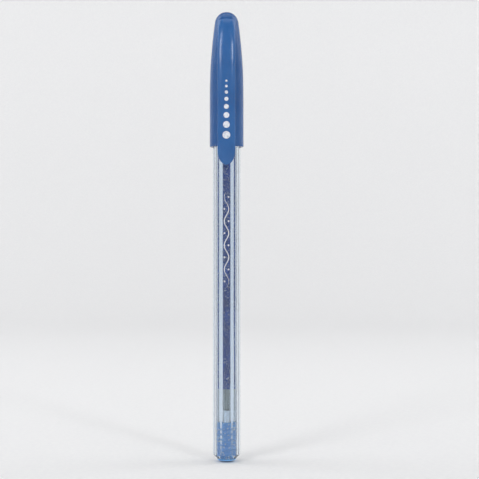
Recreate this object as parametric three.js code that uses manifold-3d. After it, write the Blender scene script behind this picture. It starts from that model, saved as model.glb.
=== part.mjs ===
// Capped gel stick pen, standing on its tail with the cap on and the clip facing -Y.
// Millimetres, +Z along the pen from the tail end to the crown of the cap, origin at the tail end.
import * as THREE from "three";
import Module from "manifold-3d";
import { mergeVertices } from "three/addons/utils/BufferGeometryUtils.js";

const wasm = await Module();
wasm.setup();

// ---- driving sizes -------------------------------------------------------------------------

// overall
const PEN_LENGTH = 150; // tail end to crown, cap on
const CAP_LENGTH = 45.2; // mouth to crown
const BARREL_FLATS = 8.2; // across the flats of the six-sided barrel
const BARREL_CORNER = 1.2; // radius on its six long edges

// fits, each a radial or end gap
const PRESS_GAP = 0.04; // between pieces pressed or glued together
const SLIDE_GAP = 0.15; // between pieces that slide or come apart
const END_GAP = 0.05; // between faces that butt

// barrel
const BARREL_WALL = 1.15; // at the flats
const SHOULDER_INSET = 3.2; // how far the six-sided body goes into the cap
const NECK_STEP = 0.1; // from the flats down to the round neck
const NECK_LENGTH = 9;
const NECK_LEAD = 0.4; // chamfer on the neck's front edge
const BEAD_HEIGHT = 0.1; // the ring the cap snaps over
const BEAD_WIDTH = 1.2;
const BEAD_PLACE = 0.5; // along the neck, as a share of it

// tail plug
const FLANGE_THICKNESS = 0.7;
const FLANGE_LIP = 0.2; // how far the flange laps the end of the barrel
const FLANGE_FLAT = 0.5; // flat end, as a share of the flange radius
const PLUG_LENGTH = 13;
const PLUG_RIB_DEPTH = 0.35;
const PLUG_RIB_WIDTH = 0.6;
const PLUG_RIB_PITCH = 1.7;
const PLUG_RIB_START = 1.8; // foot of the first rib above the tail end
const PLUG_RIBS = 6;
const SOCKET_FLOOR = 4.6; // floor of the socket that holds the refill, above the tail end
const VENT_RADIUS = 0.45;

// refill
const REFILL_DIAMETER = 4.2;
const REFILL_WALL = 0.4;
const INK_START = 24; // tail end of the ink, above the tail end of the pen
const GREASE_LENGTH = 7; // follower behind the ink

// tip holder and metal tip
const HOLDER_SPIGOT = 5; // inside the refill tube
const HOLDER_COLLAR = 2; // thick ring that stops inside the nose
const COLLAR_STEP = 0.35; // collar outside the refill tube
const HOLDER_SHOW = 1.6; // standing out of the nose
const HOLDER_WALL = 0.5; // round the metal tip
const TIP_DIAMETER = 2.3;
const TIP_TAIL = 4; // inside the holder
const TIP_STRAIGHT = 6.2; // bare cylinder in front of the holder
const TIP_CONE = 3.2;
const TIP_CHANNEL = 0.35; // radius of the ink way
const BALL_DIAMETER = 1;
const BALL_GAP = 0.03;
const BALL_SHOW = 0.3; // of the ball, outside the rolled lip
const LIP_WALL = 0.12; // of the rolled lip

// nose cone
const NOSE_SPIGOT = 7; // inside the neck
const NOSE_LAND = 3.2; // straight end the inner cap seals on
const NOSE_WALL = 0.65; // round the tip holder
const NOSE_STOP = 2.5; // thickness of the front wall that stops the holder's collar
const NOSE_SKIN = 0.2; // least wall left round the holder's collar
const NOSE_BULGE = 0.62; // how full the cone is at its middle, 0.5 being straight

// cap
const MOUTH_GAP = 0.225; // mouth bore outside the barrel's corners
const MOUTH_WALL = 0.9;
const MOUTH_DEPTH = 3.8; // depth of the wide mouth bore
const MOUTH_ROUND = 0.25;
const CAP_WALL = 1.1;
const CROWN_THICKNESS = 3.6;
const DIMPLE_RADIUS = 1.1; // moulding gate dimple in the crown
const DIMPLE_DEPTH = 0.25;
// outside of the cap: share of its length above the mouth, share of its full radius
const CAP_TAPER = [
  [0, 1],
  [0.416, 1],
  [0.489, 0.987],
  [0.562, 0.972],
  [0.637, 0.937],
  [0.71, 0.89],
  [0.785, 0.834],
  [0.858, 0.768],
  [0.92, 0.703],
];
const DOME_STEPS = 9;

// inner cap and seal
const INNER_WALL = 0.65;
const INNER_TOP = 0.8; // its closed end
const COLLAR_WIDTH = 1.4; // the two rings that hold it in the cap
const COLLAR_PLACES = [0.02, 0.42]; // along its length, as shares of it
const SEAL_THICKNESS = 2.6;
const SEAL_CUP = 0.12; // how deep the ball's cup is

// clip
const CLIP_WIDTH = 5.9;
const CLIP_EDGE = 0.35; // rounding on its long edges
const CLIP_SPLIT = 0.16; // between the blade and the root it is moulded with
const CLIP_ROOT = 0.741; // root of the blade, as a share of the cap's length
const TIP_LENGTH = 4.7; // rounded end of the clip, seen from in front
// blade in side view: share of the cap's length above the mouth, share of the cap's radius out from the axis
const CLIP_OUTSIDE = [
  [0.741, 1.205],
  [0.62, 1.335],
  [0.44, 1.42],
  [0.22, 1.445],
  [0.06, 1.43],
  [-0.05, 1.385],
  [-0.105, 1.31],
  [-0.131, 1.265],
];
const CLIP_INSIDE = [
  [-0.131, 1.12],
  [-0.09, 1.135],
  [-0.04, 1.125],
  [-0.005, 1.085],
  [0.025, 1.06],
  [0.06, 1.08],
  [0.12, 1.165],
  [0.25, 1.18],
  [0.44, 1.155],
  [0.62, 1.075],
  [0.741, 0.95],
];
const ROOT_OUTSIDE = [
  [0.95, 0.6],
  [0.915, 0.79],
  [0.86, 0.965],
  [0.8, 1.1],
  [0.741, 1.205],
  [0.7, 1.26],
];
const ROOT_BITE = 0.45; // how deep the clip's root is sunk in the cap's wall
const ROOT_CORE = 0.35; // and in the solid crown, as a share of the cap's radius from the axis
const CURVE_STEPS = 28;
const CUT_ROOM = 0.02; // how far a cutting shape stands off a face it must not share

// smoothness of turned pieces
const LARGE_SIDES = 48;
const SMALL_SIDES = 32;
const CORNER_STEPS = 5;

// ---- sizes that follow ---------------------------------------------------------------------

const HEX_HALF_ANGLE = Math.PI / 6;
const CORNER_CENTRE = (BARREL_FLATS / 2 - BARREL_CORNER) / Math.cos(HEX_HALF_ANGLE);
const CORNER_RADIUS = CORNER_CENTRE + BARREL_CORNER; // axis to the outside of a barrel corner
const BORE_RADIUS = BARREL_FLATS / 2 - BARREL_WALL;
const NECK_RADIUS = BARREL_FLATS / 2 - NECK_STEP;
const CAP_MOUTH = PEN_LENGTH - CAP_LENGTH;
const SHOULDER = CAP_MOUTH + SHOULDER_INSET;
const NECK_END = SHOULDER + NECK_LENGTH;

const MOUTH_RADIUS = CORNER_RADIUS + MOUTH_GAP;
const CAP_RADIUS = MOUTH_RADIUS + MOUTH_WALL;
const SEAT_RADIUS = NECK_RADIUS + BEAD_HEIGHT + SLIDE_GAP;
const DOME_START = CAP_TAPER[CAP_TAPER.length - 1][0] * CAP_LENGTH;
const DOME_RADIUS = CAP_TAPER[CAP_TAPER.length - 1][1] * CAP_RADIUS;
const CROWN_UNDERSIDE = CAP_LENGTH - CROWN_THICKNESS;

const INNER_END = CROWN_UNDERSIDE - END_GAP; // all above the cap's mouth
const SEAL_END = INNER_END - INNER_TOP - END_GAP;
const SEAL_START = SEAL_END - SEAL_THICKNESS;
const BALL_TOP = CAP_MOUTH + SEAL_START + SEAL_CUP - END_GAP;
const BALL_RADIUS = BALL_DIAMETER / 2;
const BALL_CENTRE = BALL_TOP - BALL_RADIUS;
const TIP_END = BALL_TOP - BALL_SHOW;
const HOLDER_END = TIP_END - TIP_CONE - TIP_STRAIGHT;
const NOSE_END = HOLDER_END - HOLDER_SHOW;
const NOSE_LENGTH = NOSE_END - NECK_END;

const REFILL_RADIUS = REFILL_DIAMETER / 2;
const REFILL_BORE = REFILL_RADIUS - REFILL_WALL;
const TIP_RADIUS = TIP_DIAMETER / 2;
const HOLDER_RADIUS = TIP_RADIUS + PRESS_GAP + HOLDER_WALL;
const HOLDER_COLLAR_RADIUS = Math.max(REFILL_RADIUS, HOLDER_RADIUS) + COLLAR_STEP;
const NOSE_BORE = HOLDER_COLLAR_RADIUS + PRESS_GAP;
const NOSE_HOLE = HOLDER_RADIUS + PRESS_GAP;
const NOSE_LAND_RADIUS = Math.max(NOSE_HOLE + NOSE_WALL, NOSE_BORE + NOSE_SKIN);
const COLLAR_FRONT = NOSE_END - NOSE_STOP - END_GAP;
const COLLAR_BACK = COLLAR_FRONT - HOLDER_COLLAR;
const REFILL_BACK = SOCKET_FLOOR + END_GAP;
const REFILL_FRONT = COLLAR_BACK - END_GAP;
const SPIGOT_BACK = COLLAR_BACK - HOLDER_SPIGOT;
const INK_RADIUS = REFILL_BORE - PRESS_GAP;
const INK_END = SPIGOT_BACK - END_GAP;

// ---- shape helpers -------------------------------------------------------------------------

// Point of a turned profile, by radius and height.
const at = (radius, height) => new THREE.Vector2(radius, height);

// Turned body about Z from its half section, listed counter-clockwise with the axis on the left.
function turned(profile, sides = LARGE_SIDES) {
  const geometry = new THREE.LatheGeometry(profile, sides);
  return geometry.rotateX(Math.PI / 2);
}

// Closed ring section: the first point again at the end.
function ring(profile, sides = LARGE_SIDES) {
  return turned([...profile, profile[0]], sides);
}

function toSolid(geometry) {
  const bare = geometry.clone();
  bare.deleteAttribute("normal");
  bare.deleteAttribute("uv");
  const joined = mergeVertices(bare.index ? bare.toNonIndexed() : bare, 1e-4);
  const mesh = new wasm.Mesh({
    numProp: 3,
    vertProperties: new Float32Array(joined.attributes.position.array),
    triVerts: new Uint32Array(joined.index.array),
  });
  mesh.merge();
  return new wasm.Manifold(mesh);
}

function toGeometry(solid) {
  const mesh = solid.getMesh();
  const geometry = new THREE.BufferGeometry();
  geometry.setAttribute("position", new THREE.BufferAttribute(mesh.vertProperties, 3));
  geometry.setIndex(new THREE.BufferAttribute(mesh.triVerts, 1));
  geometry.computeVertexNormals();
  return geometry;
}

function material(color, roughness, metalness = 0, opacity = 1) {
  return new THREE.MeshStandardMaterial({
    color,
    roughness,
    metalness,
    opacity,
    transparent: opacity < 1,
  });
}

function piece(name, geometry, look, height = 0) {
  const mesh = new THREE.Mesh(geometry, look);
  mesh.name = name;
  mesh.position.z = height;
  return mesh;
}

// ---- finishes ------------------------------------------------------------------------------

const CAP_PLASTIC = material("#3f6faa", 0.22);
const CLIP_PLASTIC = material("#4379b6", 0.2);
const INNER_PLASTIC = material("#e4e7ea", 0.45);
const ELASTOMER = material("#d8d4cb", 0.75);
const CLEAR_PLASTIC = material("#b9cddb", 0.08, 0, 0.35);
const PLUG_PLASTIC = material("#5b89be", 0.25);
const NOSE_PLASTIC = material("#4a80bb", 0.28);
const TUBE_PLASTIC = material("#d7e2ea", 0.2, 0, 0.4);
const GLITTER_INK = material("#2f568c", 0.35);
const GREASE = material("#dfe3da", 0.3, 0, 0.6);
const HOLDER_PLASTIC = material("#e9ecee", 0.4);
const NICKEL_SILVER = material("#b9b6ab", 0.25, 1);
const CARBIDE = material("#8f9196", 0.15, 1);

// ---- barrel, nose and tail plug ------------------------------------------------------------

// Six-sided outline with rounded corners and a flat facing -Y.
function hexagon() {
  const shape = new THREE.Shape();
  for (let corner = 0; corner < 6; corner += 1) {
    const angle = (corner * Math.PI) / 3;
    shape.absarc(
      CORNER_CENTRE * Math.cos(angle),
      CORNER_CENTRE * Math.sin(angle),
      BARREL_CORNER,
      angle - HEX_HALF_ANGLE,
      angle + HEX_HALF_ANGLE,
      false,
    );
  }
  shape.closePath();
  return shape;
}

const FLANGE_RADIUS = BORE_RADIUS + FLANGE_LIP;
const BARREL_BACK = FLANGE_THICKNESS + END_GAP;

function barrel() {
  const prism = new THREE.ExtrudeGeometry(hexagon(), {
    depth: SHOULDER - BARREL_BACK,
    bevelEnabled: false,
    curveSegments: CORNER_STEPS,
  }).translate(0, 0, BARREL_BACK);
  // the envelope bevels both ends of the six-sided body at 45 degrees
  const tailRise = CORNER_RADIUS - FLANGE_RADIUS;
  const shoulderDrop = CORNER_RADIUS - NECK_RADIUS;
  const reach = CORNER_RADIUS + 1;
  const envelope = turned([
    at(0, BARREL_BACK - 1),
    at(FLANGE_RADIUS - 1, BARREL_BACK - 1),
    at(reach, BARREL_BACK + tailRise + 1),
    at(reach, SHOULDER - shoulderDrop - 1),
    at(NECK_RADIUS - 1, SHOULDER + 1),
    at(0, SHOULDER + 1),
  ]);
  const bead = SHOULDER + NECK_LENGTH * BEAD_PLACE;
  const neck = turned([
    at(0, SHOULDER - 1),
    at(NECK_RADIUS, SHOULDER - 1),
    at(NECK_RADIUS, bead - BEAD_WIDTH / 2),
    at(NECK_RADIUS + BEAD_HEIGHT, bead - BEAD_WIDTH / 4),
    at(NECK_RADIUS + BEAD_HEIGHT, bead + BEAD_WIDTH / 4),
    at(NECK_RADIUS, bead + BEAD_WIDTH / 2),
    at(NECK_RADIUS, NECK_END - NECK_LEAD),
    at(NECK_RADIUS - NECK_LEAD, NECK_END),
    at(0, NECK_END),
  ]);
  const bore = turned([
    at(0, -1),
    at(BORE_RADIUS, -1),
    at(BORE_RADIUS, NECK_END + 1),
    at(0, NECK_END + 1),
  ]);
  const outside = toSolid(prism).intersect(toSolid(envelope));
  return toGeometry(outside.add(toSolid(neck)).subtract(toSolid(bore)));
}

function tailPlug() {
  const ribRadius = BORE_RADIUS - PRESS_GAP;
  const columnRadius = ribRadius - PLUG_RIB_DEPTH;
  const flat = FLANGE_RADIUS * FLANGE_FLAT;
  const profile = [at(VENT_RADIUS, 0), at(flat, 0)];
  const steps = 4;
  for (let step = 1; step <= steps; step += 1) {
    const turn = (step / steps) * (Math.PI / 2);
    const rise = (FLANGE_THICKNESS * 0.85) * (1 - Math.cos(turn));
    profile.push(at(flat + (FLANGE_RADIUS - flat) * Math.sin(turn), rise));
  }
  profile.push(at(FLANGE_RADIUS, FLANGE_THICKNESS), at(columnRadius, FLANGE_THICKNESS));
  for (let rib = 0; rib < PLUG_RIBS; rib += 1) {
    const foot = PLUG_RIB_START + rib * PLUG_RIB_PITCH;
    profile.push(
      at(columnRadius, foot),
      at(ribRadius, foot + PLUG_RIB_WIDTH / 4),
      at(ribRadius, foot + (PLUG_RIB_WIDTH * 3) / 4),
      at(columnRadius, foot + PLUG_RIB_WIDTH),
    );
  }
  const socket = REFILL_RADIUS + SLIDE_GAP;
  const lead = Math.min(NECK_LEAD / 2, (columnRadius - socket) / 3); // leaves a third of the wall
  profile.push(
    at(columnRadius, PLUG_LENGTH - NECK_LEAD),
    at(columnRadius - lead, PLUG_LENGTH),
    at(socket + lead, PLUG_LENGTH),
    at(socket, PLUG_LENGTH - NECK_LEAD),
    at(socket, SOCKET_FLOOR),
    at(VENT_RADIUS, SOCKET_FLOOR),
  );
  return ring(profile);
}

// Nose cone, drawn from the front of the neck.
function noseCone() {
  const coneLength = NOSE_LENGTH - NOSE_LAND;
  const spigot = BORE_RADIUS - PRESS_GAP;
  const profile = [
    at(NOSE_BORE, -NOSE_SPIGOT),
    at(spigot - NECK_LEAD / 2, -NOSE_SPIGOT),
    at(spigot, NECK_LEAD - NOSE_SPIGOT),
    at(spigot, END_GAP),
  ];
  const base = at(NECK_RADIUS - NECK_LEAD, END_GAP);
  const brim = at(NECK_RADIUS, END_GAP + NECK_LEAD);
  const front = at(NOSE_LAND_RADIUS + NECK_LEAD, coneLength);
  const middle = at(
    brim.x * NOSE_BULGE + front.x * (1 - NOSE_BULGE) + NECK_LEAD,
    brim.y + (front.y - brim.y) * NOSE_BULGE,
  );
  const cone = new THREE.QuadraticBezierCurve(brim, middle, front);
  profile.push(
    base,
    ...cone.getPoints(10),
    at(NOSE_LAND_RADIUS, coneLength + NECK_LEAD),
    at(NOSE_LAND_RADIUS, NOSE_LENGTH - NECK_LEAD / 2),
    at(NOSE_LAND_RADIUS - NECK_LEAD / 2, NOSE_LENGTH),
    at(NOSE_HOLE, NOSE_LENGTH),
    at(NOSE_HOLE, NOSE_LENGTH - NOSE_STOP),
    at(NOSE_BORE, NOSE_LENGTH - NOSE_STOP),
  );
  return ring(profile);
}

// ---- refill --------------------------------------------------------------------------------

function refillTube() {
  const length = REFILL_FRONT - REFILL_BACK;
  return ring(
    [at(REFILL_BORE, 0), at(REFILL_RADIUS, 0), at(REFILL_RADIUS, length), at(REFILL_BORE, length)],
    SMALL_SIDES,
  );
}

// Plain round slug on its own base.
function slug(radius, length) {
  return turned([at(0, 0), at(radius, 0), at(radius, length), at(0, length)], SMALL_SIDES);
}

// Tip holder, drawn from its tail end.
function tipHolder() {
  const collarBack = HOLDER_SPIGOT;
  const collarFront = HOLDER_SPIGOT + HOLDER_COLLAR;
  const end = HOLDER_END - SPIGOT_BACK;
  const tipSeat = end - TIP_TAIL - END_GAP;
  const tipBore = TIP_RADIUS + PRESS_GAP;
  return ring(
    [
      at(TIP_CHANNEL * 2, 0),
      at(INK_RADIUS, 0),
      at(INK_RADIUS, collarBack),
      at(HOLDER_COLLAR_RADIUS, collarBack),
      at(HOLDER_COLLAR_RADIUS, collarFront),
      at(HOLDER_RADIUS, collarFront),
      at(HOLDER_RADIUS, end - NECK_LEAD),
      at(HOLDER_RADIUS - NECK_LEAD / 2, end),
      at(tipBore, end),
      at(tipBore, tipSeat),
      at(TIP_CHANNEL * 2, tipSeat),
    ],
    SMALL_SIDES,
  );
}

// Metal tip with its ball socket, drawn from its tail end.
function tipShell() {
  const straight = TIP_TAIL + TIP_STRAIGHT;
  const end = straight + TIP_CONE;
  const socket = BALL_RADIUS + BALL_GAP;
  const centre = end + BALL_SHOW - BALL_RADIUS;
  const lip = Math.sqrt(socket ** 2 - (end - centre) ** 2);
  const profile = [
    at(TIP_CHANNEL, 0),
    at(TIP_RADIUS - NECK_LEAD / 4, 0),
    at(TIP_RADIUS, NECK_LEAD / 2),
    at(TIP_RADIUS, straight),
    at(socket + LIP_WALL, centre),
    at(lip + LIP_WALL / 2, end),
  ];
  const steps = 6;
  const lipAngle = Math.asin((end - centre) / socket);
  const channelAngle = -Math.acos(TIP_CHANNEL / socket);
  for (let step = 0; step <= steps; step += 1) {
    const turn = lipAngle + ((channelAngle - lipAngle) * step) / steps;
    const facetRoom = 1 / Math.cos(Math.PI / SMALL_SIDES);
    const grow = step < steps ? facetRoom : 1;
    profile.push(at(socket * Math.cos(turn) * grow, centre + socket * Math.sin(turn)));
  }
  return ring(profile, SMALL_SIDES);
}

// ---- cap -----------------------------------------------------------------------------------

// Outside radius of the cap up to the foot of its dome, by height above the mouth.
function capOutside(height) {
  const share = THREE.MathUtils.clamp(height / CAP_LENGTH, 0, DOME_START / CAP_LENGTH);
  const next = Math.max(1, CAP_TAPER.findIndex(([along]) => along >= share));
  const [fromAlong, fromRadius] = CAP_TAPER[next - 1];
  const [toAlong, toRadius] = CAP_TAPER[next];
  const mix = (share - fromAlong) / (toAlong - fromAlong);
  return (fromRadius + (toRadius - fromRadius) * mix) * CAP_RADIUS;
}

// Inside radius of the cap above its mouth bore: drafted, so never wider than the seat.
const capInside = (height) => Math.min(SEAT_RADIUS, capOutside(height) - CAP_WALL);

// Curve through points given as shares of the cap's length and radius, in (y, z) with -Y outwards,
// moved to its left by the rounding that the extrusion's bevel adds back.
function sideCurve(table) {
  const points = table.map(([along, out]) => at(-out * CAP_RADIUS, along * CAP_LENGTH));
  const curve = new THREE.SplineCurve(points);
  return Array.from({ length: CURVE_STEPS + 1 }, (_, step) => {
    const along = curve.getTangent(step / CURVE_STEPS);
    const inwards = at(-along.y, along.x);
    return curve.getPoint(step / CURVE_STEPS).addScaledVector(inwards, CLIP_EDGE);
  });
}

// Side view extruded across the clip's width, its long edges rounded.
function acrossClip(points) {
  const blank = new THREE.ExtrudeGeometry(new THREE.Shape(points), {
    depth: CLIP_WIDTH - 2 * CLIP_EDGE,
    bevelSize: CLIP_EDGE,
    bevelThickness: CLIP_EDGE,
    bevelSegments: 3,
  }).translate(0, 0, CLIP_EDGE - CLIP_WIDTH / 2);
  const turn = new THREE.Matrix4().makeBasis(
    new THREE.Vector3(0, 1, 0),
    new THREE.Vector3(0, 0, 1),
    new THREE.Vector3(1, 0, 0),
  );
  return toSolid(blank.applyMatrix4(turn));
}

// Front outline of the clip: straight sides and a half-ellipse at the free end.
function clipOutline(top) {
  const bottom = CLIP_INSIDE[0][0] * CAP_LENGTH - CLIP_EDGE;
  const half = CLIP_WIDTH / 2 + CUT_ROOM;
  const outline = new THREE.Shape();
  outline.moveTo(half, top);
  outline.lineTo(-half, top);
  outline.absellipse(0, bottom + TIP_LENGTH, half, TIP_LENGTH, Math.PI, 2 * Math.PI, false);
  outline.closePath();
  const slab = new THREE.ExtrudeGeometry(outline, {
    depth: 2 * CAP_RADIUS,
    bevelEnabled: false,
    curveSegments: 16,
  });
  const turn = new THREE.Matrix4().makeBasis(
    new THREE.Vector3(1, 0, 0),
    new THREE.Vector3(0, 0, 1),
    new THREE.Vector3(0, -1, 0),
  );
  return toSolid(slab.applyMatrix4(turn));
}

function capShell() {
  const outside = CAP_TAPER.slice(1).map(([along, radius]) =>
    at(radius * CAP_RADIUS, along * CAP_LENGTH),
  );
  const smooth = new THREE.SplineCurve(outside).getPoints(16);
  const dome = [];
  const rise = CAP_LENGTH - DOME_START;
  for (let step = 1; step < DOME_STEPS; step += 1) {
    const turn = (step / DOME_STEPS) * (Math.PI / 2);
    dome.push(at(DOME_RADIUS * Math.cos(turn), DOME_START + rise * Math.sin(turn)));
  }
  const inside = [];
  const seatTop = MOUTH_DEPTH + 2 * (MOUTH_RADIUS - SEAT_RADIUS);
  const levels = 12;
  for (let level = 0; level <= levels; level += 1) {
    const height = CROWN_UNDERSIDE + ((seatTop - CROWN_UNDERSIDE) * level) / levels;
    inside.push(at(capInside(height), height));
  }
  const body = turned([
    at(0, CROWN_UNDERSIDE),
    ...inside,
    at(MOUTH_RADIUS, MOUTH_DEPTH),
    at(MOUTH_RADIUS, MOUTH_ROUND),
    at(MOUTH_RADIUS + MOUTH_ROUND, 0),
    at(CAP_RADIUS - MOUTH_ROUND, 0),
    at(CAP_RADIUS, MOUTH_ROUND),
    ...smooth,
    ...dome,
    at(0, CAP_LENGTH),
  ]);
  const rootTop = ROOT_OUTSIDE[0][0] * CAP_LENGTH;
  const rootFoot = ROOT_OUTSIDE[ROOT_OUTSIDE.length - 1][0] * CAP_LENGTH;
  const rootBack = [rootFoot, CLIP_ROOT * CAP_LENGTH, CROWN_UNDERSIDE].map((height) =>
    at(ROOT_BITE - capOutside(height), height),
  );
  rootBack.push(at(-ROOT_CORE * CAP_RADIUS, rootTop));
  const blank = acrossClip([...sideCurve(ROOT_OUTSIDE), ...rootBack]);
  const below = new THREE.BoxGeometry(2 * CAP_RADIUS, 4 * CAP_RADIUS, CAP_LENGTH);
  below.translate(0, 0, (CLIP_ROOT - 0.5) * CAP_LENGTH);
  const root = blank.subtract(toSolid(below));
  const ballRadius = (DIMPLE_RADIUS ** 2 + DIMPLE_DEPTH ** 2) / (2 * DIMPLE_DEPTH);
  const cutter = new THREE.SphereGeometry(ballRadius, LARGE_SIDES, LARGE_SIDES).rotateX(Math.PI / 2);
  cutter.translate(0, 0, CAP_LENGTH + ballRadius - DIMPLE_DEPTH);
  return toGeometry(toSolid(body).add(root).subtract(toSolid(cutter)));
}

// Clip blade: the side view and the front outline meet in one body.
function capClip() {
  const blank = acrossClip([...sideCurve(CLIP_OUTSIDE), ...sideCurve(CLIP_INSIDE)]);
  return toGeometry(blank.intersect(clipOutline(CLIP_ROOT * CAP_LENGTH - CLIP_SPLIT)));
}

function innerCap() {
  const mouth = NOSE_END - NOSE_LAND + NECK_LEAD + END_GAP - CAP_MOUTH;
  const length = INNER_END - mouth;
  const bore = NOSE_LAND_RADIUS + SLIDE_GAP;
  const topRadius = capInside(INNER_END) - PRESS_GAP;
  // the body stays clear of the cap's narrowing wall
  const body = (height) => Math.min(bore + INNER_WALL, capInside(height) - PRESS_GAP - END_GAP);
  const sealBore = Math.min(topRadius - INNER_WALL, bore);
  const step = NOSE_END + HOLDER_SHOW / 2 - CAP_MOUTH;
  const outside = [];
  for (const place of COLLAR_PLACES) {
    const foot = mouth + place * length;
    const head = foot + COLLAR_WIDTH;
    const reach = capInside(head) - PRESS_GAP;
    outside.push(
      at(body(foot), foot),
      at(reach, foot + COLLAR_WIDTH / 4),
      at(reach, head),
      at(body(head), head),
    );
  }
  const shoulder = INNER_END - SEAL_THICKNESS - INNER_TOP - COLLAR_WIDTH;
  const neck = Math.max(shoulder, outside[outside.length - 1].y + END_GAP);
  return turned([
    at(0, INNER_END - INNER_TOP),
    at(sealBore, INNER_END - INNER_TOP),
    at(sealBore, step + NECK_LEAD),
    at(bore, step),
    at(bore, mouth),
    at(body(mouth), mouth),
    ...outside,
    at(body(neck), neck),
    at(topRadius, INNER_END - COLLAR_WIDTH),
    at(topRadius, INNER_END),
    at(0, INNER_END),
  ]);
}

function tipSeal() {
  const bore = Math.min(capInside(INNER_END) - PRESS_GAP - INNER_WALL, NOSE_LAND_RADIUS + SLIDE_GAP);
  const radius = bore - PRESS_GAP;
  const cup = Math.sqrt(BALL_RADIUS ** 2 - (BALL_RADIUS - SEAL_CUP) ** 2) + PRESS_GAP;
  return turned(
    [
      at(0, SEAL_CUP),
      at(cup, 0),
      at(radius - NECK_LEAD / 2, 0),
      at(radius, NECK_LEAD / 2),
      at(radius, SEAL_THICKNESS),
      at(0, SEAL_THICKNESS),
    ],
    SMALL_SIDES,
  );
}

// ---- assembly ------------------------------------------------------------------------------

function group(name, height, ...children) {
  const holder = new THREE.Group();
  holder.name = name;
  holder.position.z = height;
  holder.add(...children);
  return holder;
}

const body = group(
  "body",
  0,
  piece("barrel", barrel(), CLEAR_PLASTIC),
  piece("tail_plug", tailPlug(), PLUG_PLASTIC),
  piece("nose_cone", noseCone(), NOSE_PLASTIC, NECK_END),
);

const greaseBack = INK_START - END_GAP - GREASE_LENGTH - REFILL_BACK;
const refill = group(
  "refill",
  REFILL_BACK,
  piece("refill_tube", refillTube(), TUBE_PLASTIC),
  piece("follower_grease", slug(INK_RADIUS, GREASE_LENGTH), GREASE, greaseBack),
  piece("ink_column", slug(INK_RADIUS, INK_END - INK_START), GLITTER_INK, INK_START - REFILL_BACK),
  piece("tip_holder", tipHolder(), HOLDER_PLASTIC, SPIGOT_BACK - REFILL_BACK),
  piece("tip_shell", tipShell(), NICKEL_SILVER, HOLDER_END - TIP_TAIL - REFILL_BACK),
  piece(
    "writing_ball",
    new THREE.SphereGeometry(BALL_RADIUS, SMALL_SIDES, SMALL_SIDES / 2).rotateX(Math.PI / 2),
    CARBIDE,
    BALL_CENTRE - REFILL_BACK,
  ),
);

const cap = group(
  "cap",
  CAP_MOUTH,
  piece("cap_shell", capShell(), CAP_PLASTIC),
  piece("cap_clip", capClip(), CLIP_PLASTIC),
  piece("inner_cap", innerCap(), INNER_PLASTIC),
  piece("tip_seal", tipSeal(), ELASTOMER, SEAL_START),
);

const pen = new THREE.Group();
pen.name = "gel_pen";
pen.add(body, refill, cap);

export default pen;
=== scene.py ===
"""Looks of a capped gel stick pen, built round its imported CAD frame.

Metres, +Z along the pen from the tail end to the crown of the cap, clip facing -Y.
Every size in the classes below is in millimetres and is turned to metres as the mesh is made.
"""
import logging
import math
from dataclasses import dataclass, field
from enum import Enum
from typing import Callable, Sequence

import bmesh
import bpy
from mathutils import Matrix, Vector


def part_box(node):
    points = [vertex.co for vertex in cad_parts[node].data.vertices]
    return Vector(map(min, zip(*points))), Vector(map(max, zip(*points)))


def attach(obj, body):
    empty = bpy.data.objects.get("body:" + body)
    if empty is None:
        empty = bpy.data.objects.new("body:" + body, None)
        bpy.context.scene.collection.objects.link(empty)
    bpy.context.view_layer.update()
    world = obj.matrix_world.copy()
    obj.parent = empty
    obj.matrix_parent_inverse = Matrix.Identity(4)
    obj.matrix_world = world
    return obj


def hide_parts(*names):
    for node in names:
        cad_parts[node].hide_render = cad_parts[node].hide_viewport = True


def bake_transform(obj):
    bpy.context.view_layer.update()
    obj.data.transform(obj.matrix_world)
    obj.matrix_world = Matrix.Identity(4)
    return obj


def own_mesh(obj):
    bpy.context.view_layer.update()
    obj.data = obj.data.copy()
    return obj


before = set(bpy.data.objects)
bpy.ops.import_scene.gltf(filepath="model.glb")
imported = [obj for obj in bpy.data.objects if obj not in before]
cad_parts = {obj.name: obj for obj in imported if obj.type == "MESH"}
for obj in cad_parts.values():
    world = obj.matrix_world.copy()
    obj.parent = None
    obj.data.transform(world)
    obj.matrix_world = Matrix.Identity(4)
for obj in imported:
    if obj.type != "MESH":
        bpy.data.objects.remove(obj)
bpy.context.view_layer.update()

LOG = logging.getLogger("gel_pen")
MM = 0.001
Profile = Sequence[tuple[float, float]]
Section = Callable[[float], Vector]
Tree, Node, Socket = bpy.types.NodeTree, bpy.types.Node, bpy.types.NodeSocket
Piece, Material = bpy.types.Object, bpy.types.Material


class Body(str, Enum):
    """Names of the moving bodies that pieces ride on."""

    PEN = "pen_body"
    BALL = "ball"
    FOLLOWER = "follower"
    CAP = "cap"
    CLIP = "clip"


# Colour and nodes


def linear(hex_colour: str) -> tuple[float, float, float, float]:
    """Turn an sRGB hex colour into linear RGBA.

    Args:
        hex_colour: a colour such as "#3f6faa".

    Returns:
        Linear red, green, blue and an alpha of one.
    """
    parts = [int(hex_colour[i:i + 2], 16) / 255 for i in (1, 3, 5)]
    red, green, blue = [c / 12.92 if c <= 0.04045 else ((c + 0.055) / 1.055) ** 2.4 for c in parts]
    return red, green, blue, 1.0


def add(tree: Tree, kind: str, settings: dict | None = None, feeds: Socket | None = None,
        **links: Socket) -> Node:
    """Add a node with its settings and links.

    Args:
        tree: the node tree.
        kind: the node's type name without its ShaderNode prefix.
        settings: attributes of the node, or values of its inputs by name or number.
        feeds: an input that the node's first output goes to.
        links: an output socket for each input, named with underscores for spaces.

    Returns:
        The new node.
    """
    node = tree.nodes.new("ShaderNode" + kind)
    for key, value in (settings or {}).items():
        if isinstance(key, str) and hasattr(node, key):
            setattr(node, key, value)
        else:
            node.inputs[key].default_value = value
    for key, socket in links.items():
        tree.links.new(socket, node.inputs[key.replace("_", " ")])
    if feeds is not None:
        tree.links.new(node.outputs[0], feeds)
    return node


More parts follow.
